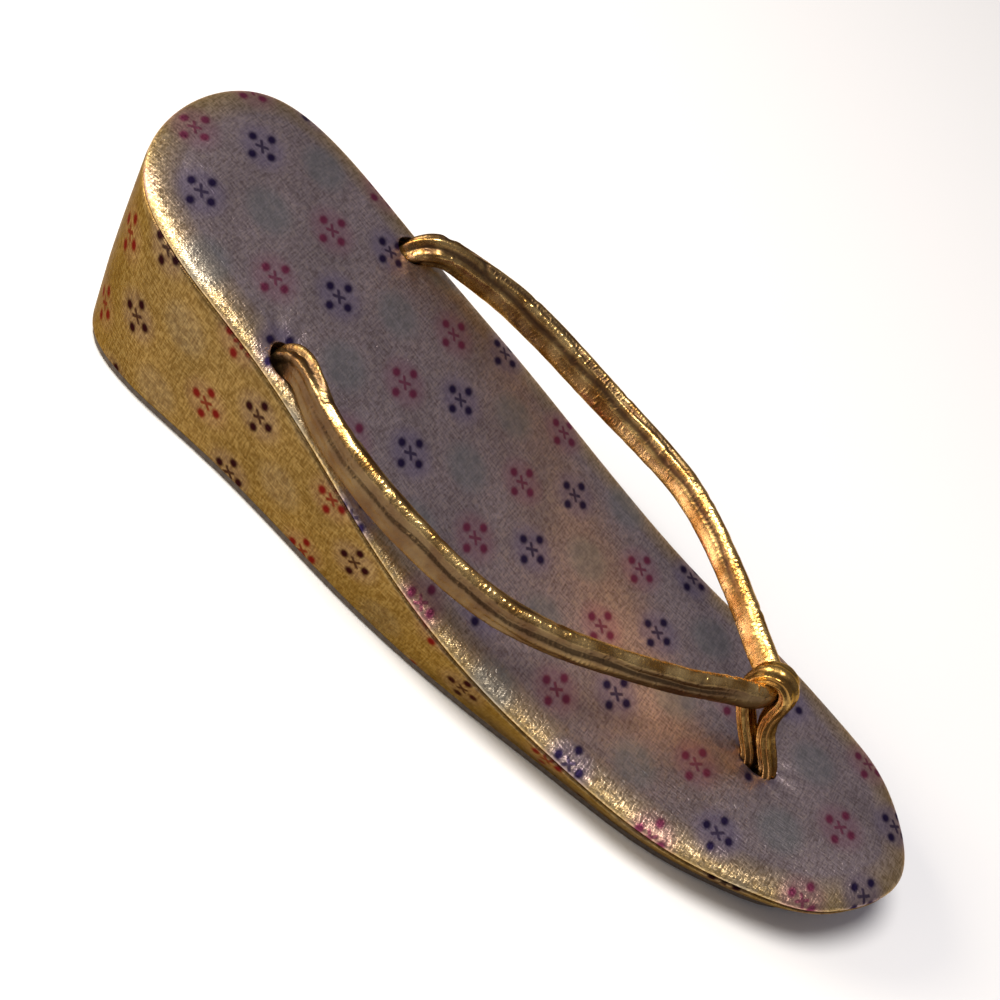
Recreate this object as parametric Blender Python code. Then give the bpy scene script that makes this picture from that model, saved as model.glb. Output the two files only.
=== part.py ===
# Zori sandal: a covered wedge sole with a padded top and a thin outsole, and two padded straps
# that run from the sides of the heel to a looped front post.
# Metres. +Y points to the toe, +X to the wearer's right, +Z up. The origin is on the floor,
# midway along and across the sandal. The shape is the same for a left and a right foot.

import math
from collections import namedtuple

import bmesh
import bpy
import numpy as np

# Sole
SOLE_LENGTH = 0.2365
BALL_WIDTH = 0.0806
HEEL_HEIGHT = 0.0562  # floor to the top of the pad, at the back
FORE_HEIGHT = 0.0158  # floor to the top of the pad where it is lowest
TOE_RISE = 0.0048  # how far the top climbs again towards the toe
TOE_SPRING = 0.0030  # how far the sole lifts off the floor at the toe
FLAT_SHARE = 0.72  # share of the length that lies flat on the floor
PAD_EDGE = 0.0034  # height of the pad's rounded edge, seam to flat top
PAD_EDGE_RUN = 0.0080  # how far in from the outline the rounded edge reaches
HEEL_TAPER = 0.0050  # how far the wall leans in at the heel, seam to floor
FORE_TAPER = 0.0062  # the same under the ball and the toe
OUTSOLE_THICKNESS = 0.0022
OUTSOLE_INSET = 0.0010  # step from the wedge's lower edge in to the outsole
SEAM_BEVEL = 0.0005  # on both sides of the seam line
WEDGE_FOOT = 0.0012  # rounding of the wedge's lower edge

# Straps
HOLE_FROM_HEEL = 0.0548
HOLE_OUT = 0.0277  # middle line to each rear hole
APEX_FROM_HEEL = 0.1832  # heel to where the two straps meet
STRAP_RISE = 0.0200  # pad top to the middle of the straps where they meet
STRAP_REACH = 0.0398  # middle line to the straps where they stand widest
STRAP_HEIGHT = 0.0100
STRAP_THICKNESS = 0.0056
APEX_HEIGHT_SHARE = 0.80  # the straps narrow to this share of their height where they meet
TAIL_DEPTH = 0.0085  # how far the strap ends and the post reach down into the sole

# Front post
POST_FROM_HEEL = 0.1943
POST_WIDTH = 0.0074  # across the sandal, over the saddle
POST_THICKNESS = 0.0042
LOOP_PINCH = 0.0006  # how far the loop presses into the straps

CLEARANCE = 0.0003  # between two pieces that meet

OUTLINE_STEPS = 44  # from heel to toe on each side
PAD_EDGE_STEPS = 5
STRAP_SIDES = 16
STRAP_STEPS = 84
POST_SIDES = 12
POST_STEPS = 48

# The outline is an oval swelled by fullness: along is a share of the length, fullness of half the
# ball width.
Outline = namedtuple("Outline", "along fullness")
OUTLINE = [
    Outline(0.00, 1.93),
    Outline(0.05, 1.56),
    Outline(0.12, 1.23),
    Outline(0.20, 1.03),
    Outline(0.38, 0.98),
    Outline(0.55, 1.005),
    Outline(0.68, 1.03),
    Outline(0.80, 1.12),
    Outline(0.90, 1.20),
    Outline(0.95, 1.25),
    Outline(1.00, 1.10),
]

# Height of the top: wedge is a share of the heel's height above the ball, toe a share of the toe rise.
Slope = namedtuple("Slope", "along wedge toe")
SLOPE = [
    Slope(0.00, 1.000, 0.0),
    Slope(0.25, 0.641, 0.0),
    Slope(0.50, 0.188, 0.0),
    Slope(0.75, 0.000, 0.0),
    Slope(1.00, 0.000, 1.0),
]

# One leg of the straps, rear hole to meeting point: along is a share of that way, out of the reach and
# rise of the rise at the meeting point; height and thickness are shares of the strap's own.
Leg = namedtuple("Leg", "along out rise height thickness")
LEG = [
    Leg(0.030, 0.742, 0.16, 0.70, 0.98),
    Leg(0.100, 0.860, 0.27, 0.84, 1.00),
    Leg(0.180, 0.945, 0.34, 0.94, 1.00),
    Leg(0.290, 0.990, 0.46, 0.98, 1.00),
    Leg(0.400, 0.990, 0.58, 0.96, 1.00),
    Leg(0.530, 0.955, 0.74, 0.90, 0.97),
    Leg(0.665, 0.830, 0.95, 0.83, 0.94),
    Leg(0.800, 0.575, 1.04, 0.78, 0.92),
    Leg(0.880, 0.385, 1.04, 0.78, 0.92),
    Leg(0.950, 0.196, 1.02, 0.78, 0.92),
    Leg(0.990, 0.080, 1.00, 0.78, 0.92),
]
TAIL_HEIGHT_SHARE = 0.62  # the strap's end in its hole, as shares of height and thickness
TAIL_THICKNESS_SHARE = 0.92

# One strand of the post, pad to straps: rise is a share of the straps' rise, lean of the way back from
# the post's hole to the straps, opening of the loop's full opening, width of the post's width.
Strand = namedtuple("Strand", "rise lean opening width")
STRAND = [
    Strand(0.00, 0.00, 0.00, 0.72),
    Strand(0.24, 0.32, 0.02, 0.74),
    Strand(0.48, 0.68, 0.20, 0.80),
    Strand(0.72, 0.91, 0.66, 0.90),
]
SADDLE_ANGLES = (0, 45, 90, 135, 180)  # degrees over the straps, front to rear


def spline(rows, at):
    """Every column but the first, on a natural cubic through the rows, at the given first values."""
    table = np.array(rows, float)
    x, y = table[:, 0], table[:, 1:]
    gap = np.diff(x)
    slope = np.diff(y, axis=0) / gap[:, None]
    system = np.eye(len(x))
    bend = np.zeros_like(y)
    for i in range(1, len(x) - 1):
        system[i, i - 1 : i + 2] = gap[i - 1], 2 * (gap[i - 1] + gap[i]), gap[i]
        bend[i] = 6 * (slope[i] - slope[i - 1])
    bend = np.linalg.solve(system, bend)
    at = np.clip(np.asarray(at, float), x[0], x[-1])
    i = np.clip(np.searchsorted(x, at, side="right") - 1, 0, len(x) - 2)
    before, after, span = (v[..., None] for v in (at - x[i], x[i + 1] - at, gap[i]))
    left = y[i] / span - bend[i] * span / 6
    right = y[i + 1] / span - bend[i + 1] * span / 6
    curve = (bend[i] * after**3 + bend[i + 1] * before**3) / (6 * span)
    return curve + left * after + right * before


def share_along(y):
    """Share of the sole's length, 0 at the heel and 1 at the toe."""
    return np.clip(np.asarray(y, float) / SOLE_LENGTH + 0.5, 0, 1)


def from_heel(distance):
    return distance - SOLE_LENGTH / 2


def top_height(y):
    wedge, toe = np.moveaxis(spline(SLOPE, share_along(y)), -1, 0)
    return FORE_HEIGHT + (HEEL_HEIGHT - FORE_HEIGHT) * wedge + TOE_RISE * toe


def seam_height(y):
    return top_height(y) - PAD_EDGE


def floor_lift(y):
    lifted = np.clip((share_along(y) - FLAT_SHARE) / (1 - FLAT_SHARE), 0, 1)
    return TOE_SPRING * lifted**2


def taper(y):
    return HEEL_TAPER + (FORE_TAPER - HEEL_TAPER) * np.clip(share_along(y) / FLAT_SHARE, 0, 1)


def outline():
    """The sole's widest outline seen from above, and its outward normals, from heel round to heel."""
    angle = np.linspace(0, math.pi, OUTLINE_STEPS + 1)
    along = (1 - np.cos(angle)) / 2
    half_width = BALL_WIDTH / 2 * np.sin(angle) * spline(OUTLINE, along)[:, 0]
    right = np.stack([half_width, (along - 0.5) * SOLE_LENGTH], axis=1)
    left = right[-2:0:-1] * (-1, 1)
    loop = np.concatenate([right, left])
    run = np.roll(loop, -1, axis=0) - np.roll(loop, 1, axis=0)
    normal = np.stack([run[:, 1], -run[:, 0]], axis=1)
    return loop, normal / np.linalg.norm(normal, axis=1, keepdims=True)


def ring(height, inset):
    """The outline moved in by inset and raised to height; both are functions of the place along."""
    loop, normal = outline()
    moved = loop - normal * inset(loop[:, 1])[:, None]
    return np.column_stack([moved, height(moved[:, 1])])


def new_object(name, mesh, collection):
    obj = bpy.data.objects.new(name, mesh)
    collection.objects.link(obj)
    return obj


def mesh_from(name, bm):
    bmesh.ops.recalc_face_normals(bm, faces=bm.faces)
    mesh = bpy.data.meshes.new(name)
    bm.to_mesh(mesh)
    bm.free()
    mesh.shade_smooth()
    mesh.set_sharp_from_angle(angle=math.radians(40))
    return mesh


def add_rings(bm, rings):
    """Walls of four-sided faces between rings that hold the same number of points."""
    rows = [[bm.verts.new(point) for point in points] for points in rings]
    for low, high in zip(rows, rows[1:]):
        for i in range(len(low)):
            j = (i + 1) % len(low)
            bm.faces.new((low[i], low[j], high[j], high[i]))
    return rows[0], rows[-1]


def close_across(bm, verts):
    """Closes a ring of the sole with strips from its right side to its left."""
    count = len(verts)
    for i in range(count // 2):
        strip = (verts[i], verts[i + 1], verts[-(i + 1) % count], verts[-i % count])
        bm.faces.new(tuple(dict.fromkeys(strip)))


def sole_layer(name, rings, collection):
    bm = bmesh.new()
    for end in add_rings(bm, rings):
        close_across(bm, end)
    return new_object(name, mesh_from(name, bm), collection)


def wall_inset(share_down):
    """Inset of the leaning wall, 0 at the seam and 1 at the floor."""
    return lambda y: share_down * taper(y)


def build_outsole(collection):
    rings = [
        ring(floor_lift, lambda y: taper(y) + OUTSOLE_INSET + WEDGE_FOOT / 2),
        ring(lambda y: floor_lift(y) + OUTSOLE_THICKNESS / 4, lambda y: taper(y) + OUTSOLE_INSET),
        ring(lambda y: floor_lift(y) + OUTSOLE_THICKNESS, lambda y: taper(y) + OUTSOLE_INSET),
    ]
    return sole_layer("outsole", rings, collection)


def build_wedge(collection):
    def base(y):
        return floor_lift(y) + OUTSOLE_THICKNESS + CLEARANCE

    rings = [
        ring(base, lambda y: taper(y) + WEDGE_FOOT),
        ring(lambda y: base(y) + WEDGE_FOOT * 0.3, lambda y: taper(y) + WEDGE_FOOT * 0.3),
        ring(lambda y: base(y) + WEDGE_FOOT, lambda y: taper(y)),
        ring(lambda y: (base(y) + seam_height(y)) / 2, wall_inset(0.5)),
        ring(lambda y: seam_height(y) - SEAM_BEVEL, wall_inset(0)),
        ring(seam_height, lambda y: wall_inset(0)(y) + SEAM_BEVEL),
    ]
    return sole_layer("wedge_sole", rings, collection)


def build_top_pad(collection):
    def base(y):
        return seam_height(y) + CLEARANCE

    edge = PAD_EDGE - CLEARANCE - SEAM_BEVEL
    rings = [ring(base, lambda y: 0 * y + SEAM_BEVEL)]
    for step in range(PAD_EDGE_STEPS + 1):
        turn = math.pi / 2 * step / PAD_EDGE_STEPS
        rings.append(
            ring(
                lambda y: base(y) + SEAM_BEVEL + edge * math.sin(turn),
                lambda y: 0 * y + PAD_EDGE_RUN * (1 - math.cos(turn)),
            )
        )
    return sole_layer("top_pad", rings, collection)


def sweep(name, route, tall, height, thickness, sides, grow, collection):
    """A closed tube of oval section along a route; tall gives the direction of its height.
    grow widens it and lengthens its ends, for the pocket that it sits in."""
    run = np.gradient(route, axis=0)
    run /= np.linalg.norm(run, axis=1, keepdims=True)
    route = route.copy()
    route[0] -= run[0] * grow
    route[-1] += run[-1] * grow
    tall = tall - run * (tall * run).sum(1, keepdims=True)
    tall /= np.linalg.norm(tall, axis=1, keepdims=True)
    side = np.cross(run, tall)
    turns = np.arange(sides) * 2 * math.pi / sides
    rings = []
    for i, centre in enumerate(route):
        up = np.outer(np.cos(turns), tall[i]) * (height[i] / 2 + grow)
        out = np.outer(np.sin(turns), side[i]) * (thickness[i] / 2 + grow)
        rings.append(centre + up + out)
    bm = bmesh.new()
    for end in add_rings(bm, rings):
        bm.faces.new(end)
    return new_object(name, mesh_from(name, bm), collection)


def along_route(points, steps):
    """Even steps on a smooth curve through rows of x, y, z and sizes, by distance along it."""
    points = np.array(points, float)
    gap = np.linalg.norm(np.diff(points[:, :3], axis=0), axis=1)
    distance = np.concatenate([[0], np.cumsum(gap)])
    return spline(np.column_stack([distance, points]), np.linspace(0, distance[-1], steps + 1))


def carried(run, start):
    """A direction carried along the route without twisting, from start at the first point."""
    directions = [np.array(start, float)]
    for step in run[1:]:
        turned = directions[-1] - step * (directions[-1] @ step)
        directions.append(turned / np.linalg.norm(turned))
    return np.array(directions)


def leg_points():
    """Rows of x, y, z, height and thickness for the right leg, from its buried end to the middle line."""
    hole_y = from_heel(HOLE_FROM_HEEL)
    apex_y = from_heel(APEX_FROM_HEEL)
    tail = (STRAP_HEIGHT * TAIL_HEIGHT_SHARE, STRAP_THICKNESS * TAIL_THICKNESS_SHARE)
    points = [
        (HOLE_OUT, hole_y, float(top_height(hole_y)) - TAIL_DEPTH, *tail),
        (HOLE_OUT, hole_y, float(top_height(hole_y)) - TAIL_DEPTH / 3, *tail),
    ]
    for row in LEG:
        y = hole_y + (apex_y - hole_y) * row.along
        z = float(top_height(y)) + STRAP_RISE * row.rise
        size = (STRAP_HEIGHT * row.height, STRAP_THICKNESS * row.thickness)
        points.append((STRAP_REACH * row.out, y, z, *size))
    return points


def build_straps(name, grow, collection):
    right = leg_points()
    apex_y = from_heel(APEX_FROM_HEEL)
    apex_z = float(top_height(apex_y)) + STRAP_RISE
    middle = (0, apex_y, apex_z, STRAP_HEIGHT * APEX_HEIGHT_SHARE, right[-1][4])
    left = [(-x, *rest) for x, *rest in right[::-1]]
    rows = along_route([*right, middle, *left], STRAP_STEPS)
    route, height, thickness = rows[:, :3], rows[:, 3], rows[:, 4]
    run = np.gradient(route, axis=0)
    run /= np.linalg.norm(run, axis=1, keepdims=True)
    half = STRAP_STEPS // 2
    to_left = carried(run[half:], (0, 0, 1))
    to_right = carried(run[half::-1], (0, 0, 1))
    tall = np.concatenate([to_right[:0:-1], to_left])
    return sweep(name, route, tall, height, thickness, STRAP_SIDES, grow, collection)


def post_points():
    """Rows of x, y, z, width and thickness: up the front strand, over the saddle and down the rear one."""
    foot_y = from_heel(POST_FROM_HEEL)
    apex_y = from_heel(APEX_FROM_HEEL)
    foot_z = float(top_height(foot_y))
    apex_z = float(top_height(apex_y)) + STRAP_RISE
    strap_half = STRAP_THICKNESS * LEG[-1].thickness / 2
    open_half = strap_half + POST_THICKNESS / 2 - LOOP_PINCH
    foot_half = POST_THICKNESS / 2 + 2 * CLEARANCE
    over = STRAP_HEIGHT * APEX_HEIGHT_SHARE / 2 + POST_THICKNESS / 2 - LOOP_PINCH

    def strand(side):
        width = POST_WIDTH * STRAND[0].width
        rows = [(0, foot_y + side * foot_half, foot_z - TAIL_DEPTH, width, POST_THICKNESS)]
        for row in STRAND:
            y = foot_y + (apex_y - foot_y) * row.lean
            spread = foot_half + (open_half - foot_half) * row.opening
            z = foot_z + (apex_z - foot_z) * row.rise
            rows.append((0, y + side * spread, z, POST_WIDTH * row.width, POST_THICKNESS))
        return rows

    saddle = []
    for angle in SADDLE_ANGLES:
        turn = math.radians(angle)
        y = apex_y + open_half * math.cos(turn)
        saddle.append((0, y, apex_z + over * math.sin(turn), POST_WIDTH, POST_THICKNESS))
    return [*strand(1), *saddle, *strand(-1)[::-1]]


def build_post(name, grow, collection):
    rows = along_route(post_points(), POST_STEPS)
    across = np.tile((1.0, 0, 0), (len(rows), 1))
    return sweep(name, rows[:, :3], across, rows[:, 3], rows[:, 4], POST_SIDES, grow, collection)


def build_post_hole(name, collection):
    """The middle of the hole, between the two strands that go down it side by side."""
    foot_y = from_heel(POST_FROM_HEEL)
    depths = np.array([-TAIL_DEPTH, 0, PAD_EDGE])
    route = np.column_stack([0 * depths, foot_y + 0 * depths, float(top_height(foot_y)) + depths])
    across = np.tile((1.0, 0, 0), (len(route), 1))
    width = [POST_WIDTH * STRAND[0].width * 0.8] * len(route)
    length = [POST_THICKNESS] * len(route)
    return sweep(name, route, across, width, length, POST_SIDES, 0, collection)


def material(name, color, roughness, metallic):
    made = bpy.data.materials.new(name)
    made.use_nodes = True
    shader = made.node_tree.nodes["Principled BSDF"]
    shader.inputs["Base Color"].default_value = (*color, 1)
    shader.inputs["Roughness"].default_value = roughness
    shader.inputs["Metallic"].default_value = metallic
    return made


def cut(target, cutter):
    """Cuts a pocket whose cutter is the seated piece grown by the clearance."""
    modifier = target.modifiers.new("pocket for " + cutter.name, "BOOLEAN")
    modifier.operation = "DIFFERENCE"
    modifier.object = cutter
    modifier.solver = "EXACT"


def main():
    for obj in list(bpy.data.objects):
        bpy.data.objects.remove(obj, do_unlink=True)
    pieces = bpy.data.collections.new("zori_sandal")
    helpers = bpy.data.collections.new("cutters")
    for collection in (pieces, helpers):
        bpy.context.scene.collection.children.link(collection)

    outsole = build_outsole(pieces)
    wedge = build_wedge(pieces)
    pad = build_top_pad(pieces)
    straps = build_straps("straps", 0, pieces)
    post = build_post("front_post", 0, pieces)

    strap_pocket = build_straps("strap_pocket", CLEARANCE, helpers)
    post_pocket = build_post("post_pocket", CLEARANCE, helpers)
    post_hole = build_post_hole("post_hole", helpers)
    for cutter in (strap_pocket, post_pocket, post_hole):
        cutter.hide_render = True
        cutter.display_type = "WIRE"
    for layer in (wedge, pad):
        cut(layer, strap_pocket)
        cut(layer, post_pocket)
        cut(layer, post_hole)
    cut(straps, post_pocket)

    brocade = material("gold brocade", (0.46, 0.33, 0.16), 0.42, 0.55)
    for layer in (wedge, pad):
        layer.data.materials.append(brocade)
    gold = material("gold vinyl", (0.62, 0.42, 0.14), 0.24, 0.85)
    for piece in (straps, post):
        piece.data.materials.append(gold)
    outsole.data.materials.append(material("brown rubber", (0.07, 0.05, 0.035), 0.75, 0.0))


main()
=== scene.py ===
import math
from collections import namedtuple
from functools import partial

import bpy
import numpy as np
from mathutils import Matrix, Vector, noise


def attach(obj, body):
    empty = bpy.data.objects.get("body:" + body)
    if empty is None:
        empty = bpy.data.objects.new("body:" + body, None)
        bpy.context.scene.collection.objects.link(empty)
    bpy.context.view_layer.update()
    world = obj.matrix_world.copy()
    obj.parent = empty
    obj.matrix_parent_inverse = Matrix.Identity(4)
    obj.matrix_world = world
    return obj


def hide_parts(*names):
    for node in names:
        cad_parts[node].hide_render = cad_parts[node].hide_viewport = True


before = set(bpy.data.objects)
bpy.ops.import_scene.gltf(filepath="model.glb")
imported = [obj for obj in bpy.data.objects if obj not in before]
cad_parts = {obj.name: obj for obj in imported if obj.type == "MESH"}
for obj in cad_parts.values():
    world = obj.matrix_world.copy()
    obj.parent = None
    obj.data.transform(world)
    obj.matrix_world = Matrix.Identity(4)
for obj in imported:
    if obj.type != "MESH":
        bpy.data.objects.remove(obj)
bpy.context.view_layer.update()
print("frame loaded:", ", ".join(sorted(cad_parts)))


# Sizes of the sole, as the model has them
sole = dict(
    length=0.2365,
    ballWidth=0.0806,
    heelHeight=0.0562,
    foreHeight=0.0158,
    toeRise=0.0048,
    toeSpring=0.0030,
    flatShare=0.72,
    padEdge=0.0034,
    padEdgeRun=0.0080,
    heelTaper=0.0050,
    foreTaper=0.0062,
    outsoleThickness=0.0022,
    wedgeFoot=0.0012,
    seamBevel=0.0005,
    clearance=0.0003,
)
Outline = namedtuple("Outline", "along fullness")
outlineRows = [
    Outline(0.00, 1.93),
    Outline(0.05, 1.56),
    Outline(0.12, 1.23),
    Outline(0.20, 1.03),
    Outline(0.38, 0.98),
    Outline(0.55, 1.005),
    Outline(0.68, 1.03),
    Outline(0.80, 1.12),
    Outline(0.90, 1.20),
    Outline(0.95, 1.25),
    Outline(1.00, 1.10),
]
Slope = namedtuple("Slope", "along wedge toe")
slopeRows = [
    Slope(0.00, 1.000, 0.0),
    Slope(0.25, 0.641, 0.0),
    Slope(0.50, 0.188, 0.0),
    Slope(0.75, 0.000, 0.0),
    Slope(1.00, 0.000, 1.0),
]


def smoothRows(rows, at):
    # every column but the first, on a natural cubic through the rows
    table = np.array(rows, float)
    x, y = table[:, 0], table[:, 1:]
    gap = np.diff(x)
    slope = np.diff(y, axis=0) / gap[:, None]
    system = np.eye(len(x))
    bend = np.zeros_like(y)
    for i in range(1, len(x) - 1):
        system[i, i - 1 : i + 2] = gap[i - 1], 2 * (gap[i - 1] + gap[i]), gap[i]
        bend[i] = 6 * (slope[i] - slope[i - 1])
    bend = np.linalg.solve(system, bend)
    at = np.clip(np.asarray(at, float), x[0], x[-1])
    i = np.clip(np.searchsorted(x, at, side="right") - 1, 0, len(x) - 2)
    before, after, span = (v[..., None] for v in (at - x[i], x[i + 1] - at, gap[i]))
    left = y[i] / span - bend[i] * span / 6
    right = y[i + 1] / span - bend[i + 1] * span / 6
    curve = (bend[i] * after**3 + bend[i + 1] * before**3) / (6 * span)
    return curve + left * after + right * before


def shareAlong(y):
    return np.clip(np.asarray(y, float) / sole["length"] + 0.5, 0, 1)


def topHeight(y):
    wedge, toe = np.moveaxis(smoothRows(slopeRows, shareAlong(y)), -1, 0)
    return sole["foreHeight"] + (sole["heelHeight"] - sole["foreHeight"]) * wedge + sole["toeRise"] * toe


def seamHeight(y):
    return topHeight(y) - sole["padEdge"]


def floorLift(y):
    lifted = np.clip((shareAlong(y) - sole["flatShare"]) / (1 - sole["flatShare"]), 0, 1)
    return sole["toeSpring"] * lifted**2


def wallTaper(y):
    spread = sole["foreTaper"] - sole["heelTaper"]
    return sole["heelTaper"] + spread * np.clip(shareAlong(y) / sole["flatShare"], 0, 1)


def soleOutline(steps):
    # widest outline from the heel round the right side to the toe and back, with outward normals
    angle = np.linspace(0, math.pi, steps + 1)
    along = (1 - np.cos(angle)) / 2
    halfWidth = sole["ballWidth"] / 2 * np.sin(angle) * smoothRows(outlineRows, along)[:, 0]
    right = np.stack([halfWidth, (along - 0.5) * sole["length"]], axis=1)
    left = right[-2:0:-1] * (-1, 1)
    loop = np.concatenate([right, left])
    run = np.roll(loop, -1, axis=0) - np.roll(loop, 1, axis=0)
    normal = np.stack([run[:, 1], -run[:, 0]], axis=1)
    return loop, normal / np.linalg.norm(normal, axis=1, keepdims=True)


def bumps(points, scale, seed, depth=2):
    # smooth noise from about -1 to 1 at each point, seeded by a shift
    shift = Vector((seed * 7.31, seed * 3.17, seed * 5.73))
    values = [noise.fractal(Vector(p) * scale + shift, 1.0, 2.0, depth) for p in points.reshape(-1, 3)]
    return np.array(values).reshape(points.shape[:-1])


# Mesh helpers
def ringFaces(rings, count):
    # a quad for each step round and each step on, between closed rings of points
    faces = []
    for r in range(0, (rings - 1) * count, count):
        for i in range(count):
            j = (i + 1) % count
            faces.append((r + i, r + j, r + count + j, r + count + i))
    return faces


def capFaces(first, steps):
    # strips straight across a ring that starts at the heel, from its right side to its left
    strips = [(i, -i % (2 * steps), 2 * steps - i - 1, i + 1) for i in range(steps)]
    return [tuple(dict.fromkeys(first + k for k in strip)) for strip in strips]


def mark(obj, name, values):
    # a value for each point that a finish reads, and none for the points after those given
    padded = np.zeros(len(obj.data.vertices), np.float32)
    padded[: values.size] = values.ravel()
    obj.data.attributes.new(name, "FLOAT", "POINT").data.foreach_set("value", padded)


def newObject(name, mesh):
    obj = bpy.data.objects.new(name, mesh)
    bpy.context.scene.collection.objects.link(obj)
    return obj


def meshWithCloth(name, points, faces, cloth):
    # cloth holds one across and along pair, in metres, for each corner of each face
    mesh = bpy.data.meshes.new(name)
    mesh.from_pydata([tuple(p) for p in points], [], [tuple(f) for f in faces])
    layer = mesh.uv_layers.new(name="cloth")
    layer.uv.foreach_set("vector", np.asarray(cloth, np.float32).ravel())
    mesh.shade_smooth()
    mesh.update()
    return mesh


def outward(points, faces, cloth):
    # turns every face if the closed mesh is inside out
    volume = 0.0
    points = np.asarray(points)
    for face in faces:
        a = points[face[0]]
        for j in range(1, len(face) - 1):
            volume += a @ np.cross(points[face[j]], points[face[j + 1]])
    if volume > 0:
        return faces, cloth
    return [f[::-1] for f in faces], [c[::-1] for c in cloth]


def applied(obj):
    # the evaluated shape as a plain mesh, with no modifier left
    graph = bpy.context.evaluated_depsgraph_get()
    mesh = bpy.data.meshes.new_from_object(obj.evaluated_get(graph))
    obj.modifiers.clear()
    obj.data = mesh
    return obj


def cutAway(obj, cutters):
    for cutter in cutters:
        modifier = obj.modifiers.new("pocket", "BOOLEAN")
        modifier.operation = "DIFFERENCE"
        modifier.solver = "EXACT"
        modifier.object = cutter
    return applied(obj)


def distanceAlong(points):
    gap = np.linalg.norm(np.diff(points, axis=0), axis=1)
    return np.concatenate([[0], np.cumsum(gap)])


def evenRoute(points, steps):
    # rows of x, y, z and sizes, set at even distances on a smooth curve through the given rows
    points = np.array(points, float)
    distance = distanceAlong(points[:, :3])
    return smoothRows(np.column_stack([distance, points]), np.linspace(0, distance[-1], steps + 1))


def carriedAlong(run, start):
    # one direction kept square to a curve all along it, with no twist
    directions = [np.array(start, float)]
    for step in run[1:]:
        turned = directions[-1] - step * (directions[-1] @ step)
        directions.append(turned / np.linalg.norm(turned))
    return np.array(directions)


def turns(sides):
    return np.arange(sides) * 2 * math.pi / sides


capPitch = 0.0004  # width of cloth on each face of a tube's buried end


def tube(name, route, tall, height, thickness, sides, section, swell):
    # a closed padded tube: section gives its outline round the middle, swell moves the skin in or out
    run = np.gradient(route, axis=0)
    run /= np.linalg.norm(run, axis=1, keepdims=True)
    tall = tall - run * (tall * run).sum(1, keepdims=True)
    tall /= np.linalg.norm(tall, axis=1, keepdims=True)
    side = np.cross(run, tall)
    turn = turns(sides)
    up, out = section(turn)
    rings = route[:, None] + tall[:, None] * (up * height[:, None] / 2)[..., None]
    rings = rings + side[:, None] * (out * thickness[:, None] / 2)[..., None]
    distance = distanceAlong(route)
    girth = np.linalg.norm(np.roll(rings, -1, axis=1) - rings, axis=2).sum(1)
    skin = rings - rings.mean(axis=1, keepdims=True)
    skin /= np.linalg.norm(skin, axis=2, keepdims=True)
    moved = swell(distance[:, None] + 0 * turn, turn + 0 * distance[:, None], rings)
    rings = rings + skin * moved[..., None]
    count = len(route)
    faces, cloth = ringFaces(count, sides), []
    for r in range(count - 1):
        low, high = girth[r] / sides, girth[r + 1] / sides
        near, far = distance[r], distance[r + 1]
        for c in range(sides):
            cloth.append(((c * low, near), ((c + 1) * low, near), ((c + 1) * high, far), (c * high, far)))
    points = list(rings.reshape(-1, 3))
    for r in (0, count - 1):
        first, middle = r * sides, len(points)
        points.append(rings[r].mean(axis=0))
        for c in range(sides):
            d = (c + 1) % sides
            edge = (first + d, first + c) if r == 0 else (first + c, first + d)
            faces.append((*edge, middle))
            cloth.append(((c * capPitch, distance[r]),) * 3)
    faces, cloth = outward(points, faces, cloth)
    flat = [pair for corners in cloth for pair in corners]
    return newObject(name, meshWithCloth(name, points, faces, flat))


# Node helpers
def node(tree, kind, **settings):
    made = tree.nodes.new(kind)
    for key, value in settings.items():
        setattr(made, key, value)
    return made


def isSocket(value):
    return isinstance(value, bpy.types.NodeSocket)


def treeOf(*values):
    # the node tree that the given sockets are in
    return next(value.id_data for value in values if isSocket(value))


def feed(socket, value):
    # links another socket, or sets a plain value, where a colour goes without its alpha
    if isSocket(value):
        socket.id_data.links.new(value, socket)
    else:
        socket.default_value = (*value, 1) if socket.type == "RGBA" else value


def wire(made, **values):
    # feeds inputs by name, with an underscore for each space
    for label, value in values.items():
        feed(made.inputs[label.replace("_", " ")], value)
    return made


def calc(operation, *values, kind="ShaderNodeMath"):
    made = node(treeOf(*values), kind, operation=operation)
    for socket, value in zip(made.inputs, values):
        feed(socket, value)
    return made.outputs[0]


vectorCalc = partial(calc, kind="ShaderNodeVectorMath")


def fade(value, low, high, start=0.0, end=1.0):
    made = node(treeOf(value), "ShaderNodeMapRange", interpolation_type="SMOOTHSTEP")
    wire(made, Value=value, From_Min=low, From_Max=high, To_Min=start, To_Max=end)
    return made.outputs["Result"]


def blend(amount, first, second, kind="MIX"):
    made = node(treeOf(amount, first, second), "ShaderNodeMix", data_type="RGBA", blend_type=kind)
    for place, value in ((0, amount), (6, first), (7, second)):
        feed(made.inputs[place], value)
    return made.outputs[2]


def length(x, y):
    squares = calc("ADD", calc("MULTIPLY", x, x), calc("MULTIPLY", y, y))
    return calc("SQRT", squares)


def noiseNode(vector, scale, detail, **settings):
    made = node(treeOf(vector), "ShaderNodeTexNoise", **settings)
    return wire(made, Vector=vector, Scale=scale, Detail=detail)


def bumpNode(shader, height, distance, strength):
    made = node(treeOf(height), "ShaderNodeBump")
    wire(made, Height=height, Distance=distance, Strength=strength)
    wire(shader, Normal=made.outputs["Normal"])
    return made


def newGroup(kind, name, inputs, outputs):
    # a group of nodes with its named inputs and outputs, each with its kind of socket
    tree = bpy.data.node_groups.new(name, kind)
    for way, sockets in (("INPUT", inputs), ("OUTPUT", outputs)):
        for label, socket in sockets.items():
            tree.interface.new_socket(label, in_out=way, socket_type="NodeSocket" + socket)
    return tree, node(tree, "NodeGroupInput"), node(tree, "NodeGroupOutput")


def useGroup(tree, group, **values):
    return wire(node(tree, "ShaderNodeGroup", node_tree=group), **values)


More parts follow.
